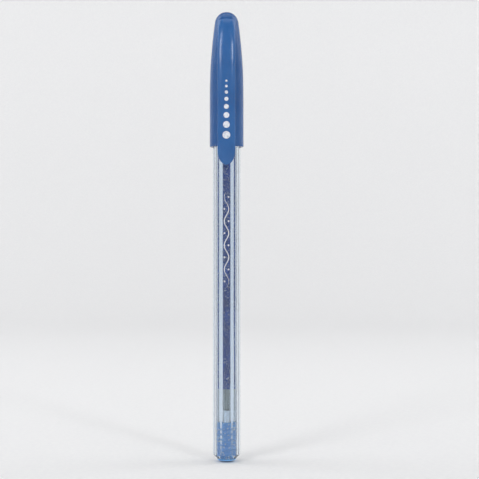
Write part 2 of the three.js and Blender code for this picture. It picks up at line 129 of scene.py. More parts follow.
def fix(shader: Node, values: dict[str, float | tuple]) -> None:
    """Set values on the shader's own sockets."""
    for name, value in values.items():
        shader.inputs[name].default_value = value


@dataclass(frozen=True)
class Finish:
    """What every finish shares: a name, and a Principled shader to build on."""

    name: str
    slot: str
    colour: str

    def build(self) -> Material:
        """Make the material.

        Returns:
            The finished material.
        """
        material = bpy.data.materials.new(self.name)
        material.use_nodes = True
        material.diffuse_color = linear(self.colour)
        tree = material.node_tree
        tree.nodes.clear()
        shader = add(tree, "BsdfPrincipled", {"Base Color": linear(self.colour)})
        add(tree, "OutputMaterial", {}, Surface=shader.outputs["BSDF"])
        place = add(tree, "TexCoord").outputs["Object"]
        self.dress(tree, shader, place)
        return material

    def mottle(self, tree: Tree, pattern: Socket, shade: str, target: Socket,
               reach: tuple[float, float] = (0.3, 0.7)) -> None:
        """Vary the finish between a darker shade and its own colour.

        Args:
            tree: the node tree.
            pattern: a value that goes from low to high over the surface.
            shade: sRGB hex colour where the pattern is low.
            target: the colour input that takes the result.
            reach: pattern values at which the two colours are whole.
        """
        mix = add(tree, "Mix", {"data_type": "RGBA", 6: linear(shade), 7: linear(self.colour)})
        add(tree, "MapRange", {"From Min": reach[0], "From Max": reach[1]}, mix.inputs[0], Value=pattern)
        tree.links.new(mix.outputs[2], target)

    def dress(self, tree: Tree, shader: Node, place: Socket) -> None:
        """Add this finish's own nodes and values.

        Args:
            tree: the node tree.
            shader: the Principled shader.
            place: object coordinates, in metres.
        """


def per_mm(size: float) -> float:
    """Texture scale that gives features of a size in millimetres on metre coordinates."""
    return 1 / (size * MM)


@dataclass(frozen=True)
class MouldedPolypropylene(Finish):
    """Glossy injection-moulded polypropylene: a deep even colour, faint flow marks, soft ripple."""

    shade: str = "#35639e"
    roughness: float = 0.2
    flow_mm: float = 9.0
    ripple_mm: float = 1.6
    ripple_depth: float = 0.04
    coat: float = 0.1

    def dress(self, tree: Tree, shader: Node, place: Socket) -> None:
        """Add flow marks, a soft ripple and the polished skin that a bright mould leaves.

        Args:
            tree: the node tree.
            shader: the Principled shader.
            place: object coordinates, in metres.
        """
        flow = add(tree, "TexNoise", {"Scale": per_mm(self.flow_mm), "Detail": 3.0}, Vector=place)
        self.mottle(tree, flow.outputs["Fac"], self.shade, shader.inputs["Base Color"])
        add(tree, "MapRange", {"To Min": self.roughness * 0.8, "To Max": self.roughness * 1.3},
            shader.inputs["Roughness"], Value=flow.outputs["Fac"])
        ripple = add(tree, "TexNoise", {"Scale": per_mm(self.ripple_mm), "Detail": 1.0}, Vector=place)
        add(tree, "Bump", {"Strength": 0.35, "Distance": self.ripple_depth * MM}, shader.inputs["Normal"],
            Height=ripple.outputs["Fac"])
        fix(shader, {"IOR": 1.49, "Coat Weight": self.coat, "Coat Roughness": 0.06,
                     "Subsurface Weight": 0.08, "Subsurface Radius": (0.4, 0.7, 1.0),
                     "Subsurface Scale": 0.6 * MM})


@dataclass(frozen=True)
class ClearPlastic(Finish):
    """Clear moulded or drawn plastic with a tint: sharp reflections, and its walls bend what is behind."""

    roughness: float = 0.04
    # Draw lines are hundredths of a millimetre apart; drawn coarse enough to show.
    line_mm: float = 0.5
    line_depth: float = 0.02
    ior: float = 1.59
    transmission: float = 1.0

    def dress(self, tree: Tree, shader: Node, place: Socket) -> None:
        """Add draw lines along the pen, and let light through.

        Args:
            tree: the node tree.
            shader: the Principled shader.
            place: object coordinates, in metres.
        """
        stretch = add(tree, "Mapping", {"Scale": (1.0, 1.0, 0.01)}, Vector=place)
        lines = add(tree, "TexNoise", {"Scale": per_mm(self.line_mm), "Detail": 2.0},
                    Vector=stretch.outputs["Vector"])
        add(tree, "Bump", {"Strength": 0.45, "Distance": self.line_depth * MM}, shader.inputs["Normal"],
            Height=lines.outputs["Fac"])
        add(tree, "MapRange", {"To Min": self.roughness * 0.6, "To Max": self.roughness * 1.6},
            shader.inputs["Roughness"], Value=lines.outputs["Fac"])
        fix(shader, {"IOR": self.ior, "Transmission Weight": self.transmission})


@dataclass(frozen=True)
class GlitterFilled(Finish):
    """A coloured plastic or gel full of small bright flakes, each lying its own way."""

    deep: str = "#274a7d"
    # The flakes are real; their pale colour is partly a painted glint that stands for their sparkle.
    flake: str = "#c9dcf2"
    # Real flakes are about 0.1 mm; drawn coarse enough to show.
    flake_mm: float = 0.28
    share: float = 0.22
    roughness: float = 0.25
    cloud_mm: float = 4.0
    glint: float = 0.1
    ior: float = 1.49

    def dress(self, tree: Tree, shader: Node, place: Socket) -> None:
        """Scatter the flakes and tilt each one its own way.

        Args:
            tree: the node tree.
            shader: the Principled shader.
            place: object coordinates, in metres.
        """
        cloud = add(tree, "TexNoise", {"Scale": per_mm(self.cloud_mm), "Detail": 4.0}, Vector=place)
        mixed = add(tree, "Mix", {"data_type": "RGBA", 7: linear(self.flake)})
        self.mottle(tree, cloud.outputs["Fac"], self.deep, mixed.inputs[6])
        cells = add(tree, "TexVoronoi", {"Scale": per_mm(self.flake_mm), "Randomness": 1.0}, Vector=place)
        pick = add(tree, "SeparateColor", {}, Color=cells.outputs["Color"])
        edge = 1 - self.share
        chosen = add(tree, "MapRange", {"From Min": edge, "From Max": edge + 0.03}, mixed.inputs[0],
                     Value=pick.outputs["Red"])
        tree.links.new(mixed.outputs[2], shader.inputs["Base Color"])
        add(tree, "MapRange", {"To Max": self.glint}, shader.inputs["Metallic"],
            Value=chosen.outputs["Result"])
        add(tree, "Bump", {"Strength": 0.12, "Distance": self.flake_mm * MM}, shader.inputs["Normal"],
            Height=pick.outputs["Green"])
        fix(shader, {"Roughness": self.roughness, "IOR": self.ior})


@dataclass(frozen=True)
class TurnedMetal(Finish):
    """Metal turned on a lathe: fine rings round the axis, bright and slightly warm."""

    roughness: float = 0.22
    # Turning marks are about 0.02 mm apart; drawn coarse enough to show.
    ring_mm: float = 0.12

    def dress(self, tree: Tree, shader: Node, place: Socket) -> None:
        """Add the rings that the cutting tool leaves.

        Args:
            tree: the node tree.
            shader: the Principled shader.
            place: object coordinates, in metres.
        """
        squeeze = add(tree, "Mapping", {"Scale": (0.02, 0.02, 1.0)}, Vector=place)
        rings = add(tree, "TexNoise", {"Scale": per_mm(self.ring_mm), "Detail": 2.0},
                    Vector=squeeze.outputs["Vector"])
        add(tree, "Bump", {"Strength": 0.3, "Distance": 0.01 * MM}, shader.inputs["Normal"],
            Height=rings.outputs["Fac"])
        add(tree, "MapRange", {"To Min": self.roughness * 0.7, "To Max": self.roughness * 1.5},
            shader.inputs["Roughness"], Value=rings.outputs["Fac"])
        fix(shader, {"Metallic": 1.0})


@dataclass(frozen=True)
class SatinMoulding(Finish):
    """Unpolished moulded plastic or elastomer: an even satin with a fine spark-eroded grain."""

    roughness: float = 0.5
    # Mould grain is about 0.05 mm; drawn coarse enough to show.
    grain_mm: float = 0.35
    shade: str = "#d0d3d6"

    def dress(self, tree: Tree, shader: Node, place: Socket) -> None:
        """Add the fine grain of a spark-eroded mould.

        Args:
            tree: the node tree.
            shader: the Principled shader.
            place: object coordinates, in metres.
        """
        grain = add(tree, "TexNoise", {"Scale": per_mm(self.grain_mm), "Detail": 3.0}, Vector=place)
        self.mottle(tree, grain.outputs["Fac"], self.shade, shader.inputs["Base Color"])
        add(tree, "Bump", {"Strength": 0.3, "Distance": 0.02 * MM}, shader.inputs["Normal"],
            Height=grain.outputs["Fac"])
        fix(shader, {"Roughness": self.roughness, "IOR": 1.5})


@dataclass(frozen=True)
class PadPrint(Finish):
    """Pad-printed ink film: near flat colour, a little uneven where it is thin."""

    roughness: float = 0.45
    shade: str = "#b9c3d2"

    def dress(self, tree: Tree, shader: Node, place: Socket) -> None:
        """Thin the printed film in patches.

        Args:
            tree: the node tree.
            shader: the Principled shader.
            place: object coordinates, in metres.
        """
        patch = add(tree, "TexNoise", {"Scale": per_mm(0.7), "Detail": 3.0}, Vector=place)
        self.mottle(tree, patch.outputs["Fac"], self.shade, shader.inputs["Base Color"], (0.25, 0.55))
        fix(shader, {"Roughness": self.roughness})


@dataclass(frozen=True)
class StudioPaper(Finish):
    """Matt white background paper."""

    def dress(self, tree: Tree, shader: Node, place: Socket) -> None:
        """Add the paper's fibre.

        Args:
            tree: the node tree.
            shader: the Principled shader.
            place: object coordinates, in metres.
        """
        fibre = add(tree, "TexNoise", {"Scale": per_mm(1.5), "Detail": 2.0}, Vector=place)
        self.mottle(tree, fibre.outputs["Fac"], "#f2f2f3", shader.inputs["Base Color"])
        fix(shader, {"Roughness": 0.9})


class Palette:
    """All the pen's finishes, each made once."""

    def __init__(self) -> None:
        """Make every material."""
        # Bright moulded polypropylene: deep even blue with long soft highlights. Cap and clip are one
        # plastic: the cap is painted a little darker as painted shade for its dark sides, and the clip a
        # little lighter as painted light; the nose is thin and lets the light through.
        self.cap = MouldedPolypropylene("glossy_moulded_polypropylene", "cap_plastic", "#2a609f",
                                        shade="#245592").build()
        # Painted light: the clip's blue is a little lighter than the cap's, though both are one plastic.
        self.clip = MouldedPolypropylene("glossy_moulded_polypropylene_clip_painted_light", "clip_plastic", "#2f69aa",
                                         shade="#295f9e").build()
        self.nose = MouldedPolypropylene("glossy_moulded_polypropylene_nose", "nose_plastic", "#4a80bb",
                                         shade="#3d71aa").build()
        # Moulded clear styrene: hard bright edges, dark lines where its walls turn the light away.
        self.barrel = ClearPlastic("clear_moulded_polystyrene", "clear_plastic", "#e6eff8").build()
        # Extruded tube, slightly milky: its edges are softer than the barrel's.
        self.tube = ClearPlastic("extruded_polypropylene_tube", "tube_plastic", "#f0f4f7",
                                 roughness=0.12, ior=1.49).build()
        # Clear grease: a soft pale slug behind the ink.
        self.grease = ClearPlastic("silicone_follower_grease", "grease", "#e4e8df",
                                   roughness=0.25, ior=1.4, transmission=0.7).build()
        # Gel ink with flakes: a deep blue body with pale specks, cloudy where it has settled. Its blue is
        # painted lighter than the ink's own, as painted light for the light that the glass walls keep
        # from it; the pale specks are partly painted glints.
        self.ink = GlitterFilled("glitter_gel_ink_painted_light", "glitter_ink", "#1f6ee6", deep="#1a52b4",
                                 flake="#cfe4ff", share=0.12, ior=1.36).build()
        # Moulded with flakes in it: a lighter blue than the cap, with larger specks; the specks' pale
        # colour is partly a painted glint.
        self.plug = GlitterFilled("glitter_filled_polypropylene", "plug_plastic", "#90cbff",
                                  deep="#6eb2fa", flake="#dff0ff", share=0.1, flake_mm=0.42).build()
        # Unpolished mouldings: no clear reflections, only a broad sheen.
        self.holder = SatinMoulding("satin_moulded_acetal", "holder_plastic", "#e9ecee").build()
        self.inner = SatinMoulding("satin_moulded_polyethylene", "inner_plastic", "#e4e7ea").build()
        self.seal = SatinMoulding("moulded_elastomer", "elastomer", "#d8d4cb", roughness=0.75,
                                  shade="#c9c4ba").build()
        # Turned and ground metal: bright bands that break up along the tool marks.
        self.metal = TurnedMetal("turned_nickel_silver", "nickel_silver", "#b9b6ab").build()
        self.carbide = TurnedMetal("ground_tungsten_carbide", "carbide", "#8f9196", roughness=0.12).build()
        # Pad-printed ink: flat and matt beside the gloss round it.
        self.white_print = PadPrint("pad_printed_white", "clip_plastic", "#eef2f8").build()
        self.silver_print = PadPrint("pad_printed_silver", "clear_plastic", "#e3e8ee",
                                     shade="#c3ccd6").build()
        self.paper = StudioPaper("studio_paper", "", "#f6f6f6").build()


# Mesh workshop


class Workpiece:
    """A bmesh being shaped in millimetres, turned into a Blender object in metres at the end."""

    def __init__(self) -> None:
        """Start empty."""
        self.bm = bmesh.new()

    def turned(self, profile: Profile, steps: int, closed: bool = False) -> "Workpiece":
        """Spin a half section about Z.

        Args:
            profile: radius and height of each point.
            steps: sides of the turned body.
            closed: join the last point to the first, for a ring that doesn't reach the axis.

        Returns:
            This workpiece.
        """
        points = [self.bm.verts.new((r, 0.0, z)) for r, z in profile]
        pairs = list(zip(points, points[1:])) + ([(points[-1], points[0])] if closed else [])
        edges = [self.bm.edges.new(pair) for pair in pairs]
        bmesh.ops.spin(self.bm, geom=points + edges, cent=(0, 0, 0), axis=(0, 0, 1),
                       angle=2 * math.pi, steps=steps, use_merge=True)
        bmesh.ops.remove_doubles(self.bm, verts=self.bm.verts, dist=1e-5)
        bmesh.ops.dissolve_degenerate(self.bm, dist=1e-6, edges=self.bm.edges)
        bmesh.ops.recalc_face_normals(self.bm, faces=self.bm.faces)
        return self

    def loops(self, sections: Sequence[Section], sides: int, closed: bool) -> "Workpiece":
        """Bridge a row of closed sections into one skin.

        Args:
            sections: each gives a point of its section for an angle in radians.
            sides: points in each section.
            closed: bridge the last section back to the first; otherwise both ends are filled.

        Returns:
            This workpiece.
        """
        rings: list[list[bmesh.types.BMEdge]] = []
        for section in sections:
            made = bmesh.ops.create_circle(self.bm, cap_ends=False, radius=1.0, segments=sides)["verts"]
            for vert in made:
                vert.co = section(math.atan2(vert.co.y, vert.co.x))
            rings.append(list({edge for vert in made for edge in vert.link_edges}))
        pairs = list(zip(rings, rings[1:])) + ([(rings[-1], rings[0])] if closed else [])
        for low, high in pairs:
            bmesh.ops.bridge_loops(self.bm, edges=low + high)
        if not closed:
            bmesh.ops.holes_fill(self.bm, edges=rings[0] + rings[-1], sides=sides)
        bmesh.ops.recalc_face_normals(self.bm, faces=self.bm.faces)
        return self

    def disc(self, centre: tuple[float, float], radius: float, rings: int = 3) -> "Workpiece":
        """Add a flat round dot in the XZ plane, in rings so that it can follow a curved face.

        Args:
            centre: across and height of its middle, in millimetres.
            radius: its radius in millimetres.
            rings: rings from the rim to the middle.

        Returns:
            This workpiece.
        """
        place = Matrix.Translation((centre[0], 0, centre[1])) @ Matrix.Rotation(math.pi / 2, 4, "X")
        made = bmesh.ops.create_circle(self.bm, cap_ends=True, radius=radius, segments=32, matrix=place)
        face = made["verts"][0].link_faces[0]
        for _ in range(rings):
            bmesh.ops.inset_region(self.bm, faces=[face], thickness=radius / (rings + 1))
        return self

    def film(self, thickness: float) -> "Workpiece":
        """Give flat marks in the XZ plane a thickness, outward along -Y.

        Args:
            thickness: thickness of the printed film, in millimetres.

        Returns:
            This workpiece.
        """
        grown = bmesh.ops.extrude_face_region(self.bm, geom=list(self.bm.faces))["geom"]
        raised = [item for item in grown if isinstance(item, bmesh.types.BMVert)]
        bmesh.ops.translate(self.bm, vec=(0, -thickness, 0), verts=raised)
        bmesh.ops.recalc_face_normals(self.bm, faces=self.bm.faces)
        return self

    def soften(self, width: float, above_deg: float = 30.0, segments: int = 2) -> "Workpiece":
        """Round every edge sharper than an angle.

        Args:
            width: bevel width in millimetres.
            above_deg: only edges whose faces turn by more than this.
            segments: steps in the rounding.

        Returns:
            This workpiece.
        """
        limit = math.radians(above_deg)
        sharp = [e for e in self.bm.edges if len(e.link_faces) == 2 and e.calc_face_angle(0.0) > limit]
        bmesh.ops.bevel(self.bm, geom=sharp, offset=width, segments=segments, profile=0.5,
                        affect="EDGES", material=-1, clamp_overlap=True)
        return self

    def finish(self, name: str, material: Material, smooth_deg: float = 32.0) -> Piece:
        """Turn the workpiece into an object.

        Args:
            name: the object's name.
            material: its one material.
            smooth_deg: faces that turn by less than this shade as one surface.

        Returns:
            The new object, at the origin, with its place in its mesh.
        """
        bmesh.ops.scale(self.bm, vec=(MM, MM, MM), verts=self.bm.verts)
        mesh = bpy.data.meshes.new(name)
        limit = math.radians(smooth_deg)
        for face in self.bm.faces:
            face.smooth = True
        for edge in self.bm.edges:
            edge.smooth = len(edge.link_faces) != 2 or edge.calc_face_angle(0.0) < limit
        self.bm.to_mesh(mesh)
        self.bm.free()
        mesh.materials.append(material)
        made = bpy.data.objects.new(name, mesh)
        bpy.context.scene.collection.objects.link(made)
        LOG.info("%s: %d faces", name, len(mesh.polygons))
        return made


def arc(centre: tuple[float, float], radii: tuple[float, float], start: float, end: float,
        steps: int) -> list[tuple[float, float]]:
    """Points along part of an ellipse in a half section.

    Args:
        centre: radius and height of its middle, in millimetres.
        radii: its half width and half height, in millimetres.
        start: first angle in degrees, where 0 is outward and 90 is up.
        end: last angle in degrees.
        steps: steps between them.

    Returns:
        Radius and height of each point, with both ends.
    """
    turns = [math.radians(start + (end - start) * step / steps) for step in range(steps + 1)]
    return [(centre[0] + radii[0] * math.cos(turn), centre[1] + radii[1] * math.sin(turn))
            for turn in turns]


def settle(piece: Piece, body: Body, slot: str, *nodes: str) -> Piece:
    """Put a piece on its body and hide the CAD nodes that it stands for.

    Args:
        piece: the finished object.
        body: the body it rides on.
        slot: the record's material slot; not used.
        nodes: CAD nodes it replaces.

    Returns:
        The same piece.
    """
    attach(piece, body.value)
    if nodes:
        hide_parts(*nodes)
    return piece


def node_span(node: str) -> tuple[float, float]:
    """Lowest and highest height of a CAD node, in millimetres."""
    low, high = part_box(node)
    return low.z / MM, high.z / MM


def node_radius(node: str) -> float:
    """Largest radius of a CAD node that is round about the pen's axis, in millimetres."""
    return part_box(node)[1].x / MM


# Barrel and tail


@dataclass
class HexBarrel:
    """Clear six-sided barrel with a bevelled tail and a round neck."""

    palette: Palette
    flats: float = 8.2
    corner: float = 1.2
    wall: float = 1.15
    flange_radius: float = 3.15
    neck_radius: float = 4.0
    neck_length: float = 9.0
    neck_lead: float = 0.4
    bead_height: float = 0.1
    bead_width: float = 1.2
    rim: float = 0.12
    body_foot: float = 8.0
    shoulder_slope: float = 0.5
    sides: int = 144

    def outline(self, angle: float) -> float:
        """Radius of the rounded hexagon.

        Args:
            angle: direction from the axis in radians; corners point along +X and -X.

        Returns:
            Distance from the axis to the surface, in millimetres.
        """
        sixth = math.pi / 3
        turn = abs((angle + sixth / 2) % sixth - sixth / 2)
        apothem = self.flats / 2
        centre = (apothem - self.corner) / math.cos(sixth / 2)
        tangent = math.atan2(self.corner * math.sin(sixth / 2), centre + self.corner * math.cos(sixth / 2))
        if turn < tangent:
            return centre * math.cos(turn) + math.sqrt(self.corner ** 2 - (centre * math.sin(turn)) ** 2)
        return apothem / math.cos(sixth / 2 - turn)

    def hexagon(self, height: float, cone: float = 0.0, inset: float = 0.0) -> Section:
        """Six-sided section.

        Args:
            height: its height in millimetres.
            cone: how much the height rises with radius outside the flange, 1 for a 45 degree bevel.
            inset: distance the outline stands inside the full one.

        Returns:
            The section's point for an angle.
        """
        def point(angle: float) -> Vector:
            """Find one point of the section.

            Args:
                angle: direction from the middle of the section, in radians.

            Returns:
                The point, in millimetres.
            """
            radius = self.outline(angle) - inset
            return Vector((radius * math.cos(angle), radius * math.sin(angle),
                           height + cone * (radius - self.flange_radius)))
        return point

    @staticmethod
    def circle(radius: float, height: float) -> Section:
        """Round section.

        Args:
            radius: its radius in millimetres.
            height: its height in millimetres.

        Returns:
            The section's point for an angle.
        """
        return lambda angle: Vector((radius * math.cos(angle), radius * math.sin(angle), height))

    def build(self) -> Piece:
        """Make the barrel.

        Returns:
            The barrel's object.
        """
        tail, front = node_span("barrel")
        shoulder = front - self.neck_length
        bore = self.flats / 2 - self.wall
        bead = shoulder + self.neck_length / 2
        rim, neck, swell = self.rim, self.neck_radius, self.neck_radius + self.bead_height
        sections = [
            self.circle(bore, tail),
            self.circle(self.flange_radius - rim / 2, tail),
            self.circle(self.flange_radius + rim / 2, tail + rim / 2),
            self.hexagon(tail, cone=1.0, inset=rim / 2),
            self.hexagon(tail + rim, cone=1.0),
            self.hexagon(tail + self.body_foot),
            self.hexagon(shoulder - self.shoulder_slope),
            self.circle(neck, shoulder),
            self.circle(neck, bead - self.bead_width / 2),
            self.circle(swell, bead - self.bead_width / 4),
            self.circle(swell, bead + self.bead_width / 4),
            self.circle(neck, bead + self.bead_width / 2),
            self.circle(neck, front - self.neck_lead),
            self.circle(neck - self.neck_lead, front),
            self.circle(bore, front),
        ]
        work = Workpiece().loops(sections, self.sides, closed=True)
        piece = work.finish("barrel_looks", self.palette.barrel, smooth_deg=25)
        return settle(piece, Body.PEN, "clear_plastic", "barrel")


@dataclass
class TailPlug:
    """Ribbed glitter-filled stopper with a domed flange."""

    palette: Palette
    flange_radius: float = 3.15
    flange: float = 0.7
    dome: float = 0.6
    rib_radius: float = 2.91
    rib_depth: float = 0.35
    rib_pitch: float = 1.7
    rib_width: float = 0.6
    ribs: int = 6
    first_rib: float = 1.8
    vent: float = 0.45
    socket_gap: float = 0.15
    floor: float = 4.6
    lead: float = 0.2

    def build(self) -> Piece:
        """Make the plug.

        Returns:
            The plug's object.
        """
        low, high = node_span("tail_plug")
        column = self.rib_radius - self.rib_depth
        socket = node_radius("refill_tube") + self.socket_gap
        lead = min(self.lead, (column - socket) / 3)
        flat = self.flange_radius / 2
        profile = [(self.vent, low)] + arc((flat, low + self.dome), (flat, self.dome), -90, 0, 8)
        profile += [(self.flange_radius, low + self.flange), (column, low + self.flange)]
        for rib in range(self.ribs):
            foot = self.first_rib + rib * self.rib_pitch
            for along in range(7):
                swell = math.sin(along / 6 * math.pi) ** 0.6
                profile.append((column + self.rib_depth * swell, foot + self.rib_width * along / 6))
        profile += [(column, high - 2 * self.lead), (column - lead, high), (socket + lead, high),
                    (socket, high - 2 * self.lead), (socket, self.floor), (self.vent, self.floor)]
        piece = Workpiece().turned(profile, 96, closed=True).finish("tail_plug_looks", self.palette.plug)
        return settle(piece, Body.PEN, "plug_plastic", "tail_plug")


@dataclass
class NoseCone:
    """Coloured nose that holds the front of the refill."""

    palette: Palette
    spigot: float = 7.0
    spigot_radius: float = 2.91
    base_radius: float = 4.0
    land_radius: float = 2.38
    land: float = 3.2
    bore_gap: float = 0.39
    skin: float = 0.2
    butt_gap: float = 0.05
    edge: float = 0.4
    fullness: float = 1.55
    hole: float = 1.73
    stop: float = 2.5

    def build(self) -> Piece:
        """Make the nose.

        Returns:
            The nose's object.
        """
        low, high = node_span("nose_cone")
        base, edge = low + self.spigot + self.butt_gap, self.edge
        front = high - self.land
        bore = node_radius("refill_tube") + self.bore_gap
        land = max(self.land_radius, bore + self.skin)
        profile = [(bore, low), (self.spigot_radius - 0.2, low), (self.spigot_radius, low + 0.4),
                   (self.spigot_radius, base)]
        profile += arc((self.base_radius - edge, base + edge), (edge, edge), -90, 0, 6)
        reach = front - base - edge
        for step in range(1, 17):
            along = step / 16
            radius = self.base_radius + (land + 0.3 - self.base_radius) * along ** self.fullness
            profile.append((radius, base + edge + reach * along))
        profile += [(land, front + 0.3), (land, high - 0.25), (land - 0.08, high - 0.08),
                    (land - 0.25, high), (self.hole, high), (self.hole, high - self.stop),
                    (bore, high - self.stop)]
        piece = Workpiece().turned(profile, 96, closed=True).finish("nose_cone_looks", self.palette.nose)
        return settle(piece, Body.PEN, "nose_plastic", "nose_cone")


# Refill


@dataclass
class Refill:
    """Refill tube, ink, follower, tip holder, metal tip and ball."""

    palette: Palette
    wall: float = 0.4
    wetting: float = 0.01
    slug_gap: float = 0.01
    spigot_gap: float = 0.04
    collar_step: float = 0.35
    meniscus: float = 0.5
    spigot: float = 5.0
    collar: float = 2.0
    holder_radius: float = 1.69
    tip_seat: float = 1.19
    seat_depth: float = 4.05
    ink_way: float = 0.7
    tip_radius: float = 1.15
    tip_straight: float = 10.2
    channel: float = 0.35
    ball_radius: float = 0.5
    ball_gap: float = 0.03
    ball_show: float = 0.3

    def __post_init__(self) -> None:
        """Read the tube's radius from the frame."""
        self.radius = node_radius("refill_tube")
        self.bore = self.radius - self.wall

    def tube(self) -> Piece:
        """Make the clear refill tube.

        Returns:
            The tube's object.
        """
        low, high = node_span("refill_tube")
        profile = [(self.bore, low), (self.radius, low), (self.radius, high), (self.bore, high)]
        piece = Workpiece().turned(profile, 72, closed=True).soften(0.08)
        return settle(piece.finish("refill_tube_looks", self.palette.tube), Body.PEN, "tube_plastic",
                      "refill_tube")

    def ink(self) -> Piece:
        """Make the ink, which shortens from its tail end as it is used.

        It reaches a hair into the wall, as wet ink leaves no air there, so the tube magnifies it.

        Returns:
            The ink's object.
        """
        low, high = node_span("ink_column")
        radius = self.bore + self.wetting
        profile = [(0.0, low)]
        profile += [(radius, low + (high - low) * step / 60) for step in range(61)]
        profile += [(0.0, high)]
        piece = Workpiece().turned(profile, 64).finish("ink_looks", self.palette.ink)
        settle(piece, Body.PEN, "glitter_ink", "ink_column")
        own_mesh(piece)
        return piece

    def follower(self) -> Piece:
        """Make the grease slug, hollowed at its tail end where it climbs the tube wall.

        Returns:
            The slug's object.
        """
        low, high = node_span("follower_grease")
        dish = self.meniscus
        radius = self.bore - self.slug_gap
        profile = [(0.0, low + dish)] + arc((0.0, low), (radius, dish), 90, 0, 8)[1:]
        profile += [(radius, high), (0.0, high)]
        piece = Workpiece().turned(profile, 64).finish("follower_grease_looks", self.palette.grease)
        return settle(piece, Body.FOLLOWER, "grease", "follower_grease")

    def holder(self) -> Piece:
        """Make the plastic tip holder.

        Returns:
            The holder's object.
        """
        low, high = node_span("tip_holder")
        foot = low + self.spigot
        head = foot + self.collar
        spigot, ring = self.bore - self.spigot_gap, self.radius + self.collar_step
        profile = [(self.ink_way, low), (spigot, low), (spigot, foot), (ring, foot), (ring, head),
                   (self.holder_radius, head), (self.holder_radius, high - 0.4),
                   (self.holder_radius - 0.2, high), (self.tip_seat, high),
                   (self.tip_seat, high - self.seat_depth), (self.ink_way, high - self.seat_depth)]
        piece = Workpiece().turned(profile, 64, closed=True).soften(0.06)
        return settle(piece.finish("tip_holder_looks", self.palette.holder), Body.PEN, "holder_plastic",
                      "tip_holder")

    def tip(self) -> Piece:
        """Make the metal tip with its rolled ball socket.

        Returns:
            The tip's object.
        """
        low, high = node_span("tip_shell")
        straight, wide = low + self.tip_straight, self.tip_radius
        centre = high + self.ball_show - self.ball_radius
        profile = [(self.channel, low), (wide - 0.1, low), (wide, low + 0.2), (wide, straight - 0.1),
                   (wide - 0.05, straight + 0.1), (0.74, centre - 0.35), (0.66, centre),
                   (0.55, high - 0.03), (0.5, high)]
        seat = self.ball_radius + self.ball_gap
        top = math.degrees(math.asin((high - centre) / seat))
        profile += arc((0.0, centre), (seat, seat), top, -math.degrees(math.acos(self.channel / seat)), 8)
        piece = Workpiece().turned(profile, 64, closed=True).soften(0.004, above_deg=40)
        return settle(piece.finish("tip_shell_looks", self.palette.metal), Body.PEN, "nickel_silver",
                      "tip_shell")

    def ball(self) -> Piece:
        """Make the writing ball.

        Returns:
            The ball's object.
        """
        low, high = node_span("writing_ball")
        work = Workpiece()
        radius = (high - low) / 2
        bmesh.ops.create_uvsphere(work.bm, u_segments=48, v_segments=24, radius=radius,
                                  matrix=Matrix.Translation((0, 0, (low + high) / 2)))
        return settle(work.finish("writing_ball_looks", self.palette.carbide), Body.BALL, "carbide",
                      "writing_ball")

    def build(self) -> list[Piece]:
        """Make the whole refill.

        Returns:
            Its objects.
        """
        return [self.tube(), self.ink(), self.follower(), self.holder(), self.tip(), self.ball()]


# Cap


def smooth_curve(table: Sequence[tuple[float, float]], at: float) -> float:
    """Catmull-Rom value through a table sorted by its first column.

    Args:
        table: places and values.
        at: the place to read.

    Returns:
        The value there; the end values outside the table.
    """
    if at <= table[0][0]:
        return table[0][1]
    for index in range(1, len(table)):
        if at <= table[index][0]:
            (x0, y0), (x1, y1) = table[index - 1], table[index]
            before = table[max(index - 2, 0)]
            after = table[min(index + 1, len(table) - 1)]
            slope0 = (y1 - before[1]) / (x1 - before[0])
            slope1 = (after[1] - y0) / (after[0] - x0)
            t, width = (at - x0) / (x1 - x0), x1 - x0
            return ((2 * t ** 3 - 3 * t ** 2 + 1) * y0 + (t ** 3 - 2 * t ** 2 + t) * width * slope0
                    + (3 * t ** 2 - 2 * t ** 3) * y1 + (t ** 3 - t ** 2) * width * slope1)
    return table[-1][1]


